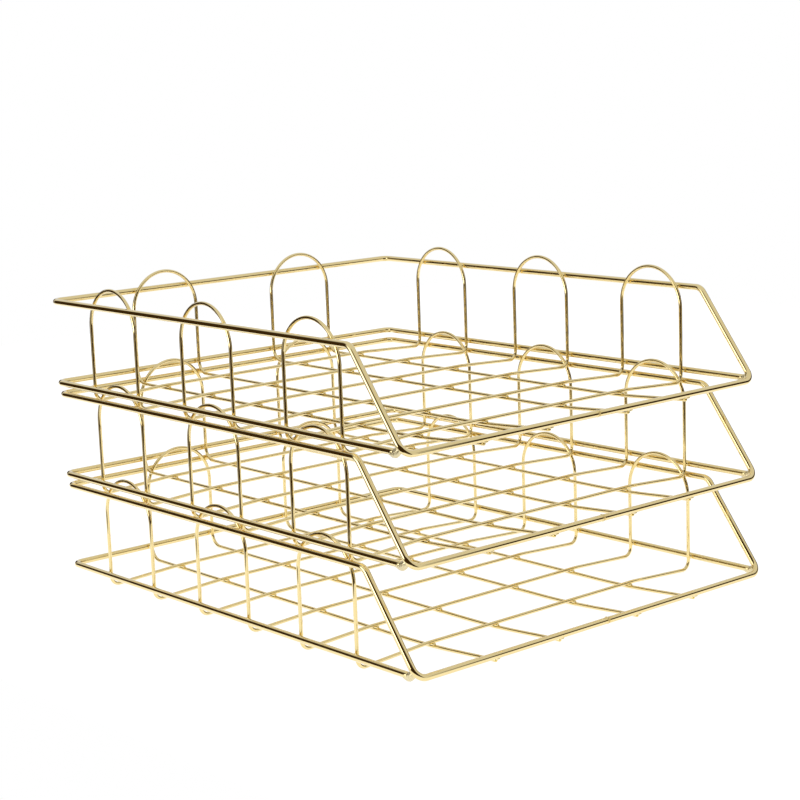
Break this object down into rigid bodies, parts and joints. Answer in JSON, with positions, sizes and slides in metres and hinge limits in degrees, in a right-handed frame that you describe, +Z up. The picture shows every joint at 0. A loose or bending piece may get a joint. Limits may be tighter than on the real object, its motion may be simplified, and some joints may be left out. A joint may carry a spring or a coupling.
{
  "type": "stacking letter tray",
  "caption": "Stack of open-front wire letter trays for a desk, each a gold-plated wire frame with hooped side and back walls; the upper trays lift off.",
  "frame": {"origin": "middle of the stack's outline, at the level of the desk it stands on", "axes": "+Z up, -Y towards the open front, +X to the right seen from the front"},
  "size_m": [0.2536, 0.3118, 0.1733],
  "materials": {
    "gold_wire": "polished"
  },
  "bodies": {
    "bottom_tray": {"bottom_tray_rim_wire": "gold_wire", "bottom_tray_base_wire": "gold_wire", "bottom_tray_front_cross_wire": "gold_wire", "bottom_tray_middle_cross_wire": "gold_wire", "bottom_tray_back_cross_wire": "gold_wire", "bottom_tray_left_runner_wire": "gold_wire", "bottom_tray_right_runner_wire": "gold_wire"},
    "middle_tray": {"middle_tray_rim_wire": "gold_wire", "middle_tray_base_wire": "gold_wire", "middle_tray_front_cross_wire": "gold_wire", "middle_tray_middle_cross_wire": "gold_wire", "middle_tray_back_cross_wire": "gold_wire", "middle_tray_left_runner_wire": "gold_wire", "middle_tray_right_runner_wire": "gold_wire"},
    "top_tray": {"top_tray_rim_wire": "gold_wire", "top_tray_base_wire": "gold_wire", "top_tray_front_cross_wire": "gold_wire", "top_tray_middle_cross_wire": "gold_wire", "top_tray_back_cross_wire": "gold_wire", "top_tray_left_runner_wire": "gold_wire", "top_tray_right_runner_wire": "gold_wire"}
  },
  "joints": [
    {"name": "middle_tray_lift", "type": "slide", "parent": "bottom_tray", "child": "middle_tray", "axis": [0, 0, 1], "range_m": [0, 0.1]},
    {"name": "top_tray_lift", "type": "slide", "parent": "middle_tray", "child": "top_tray", "axis": [0, 0, 1], "range_m": [0, 0.1]}
  ]
}
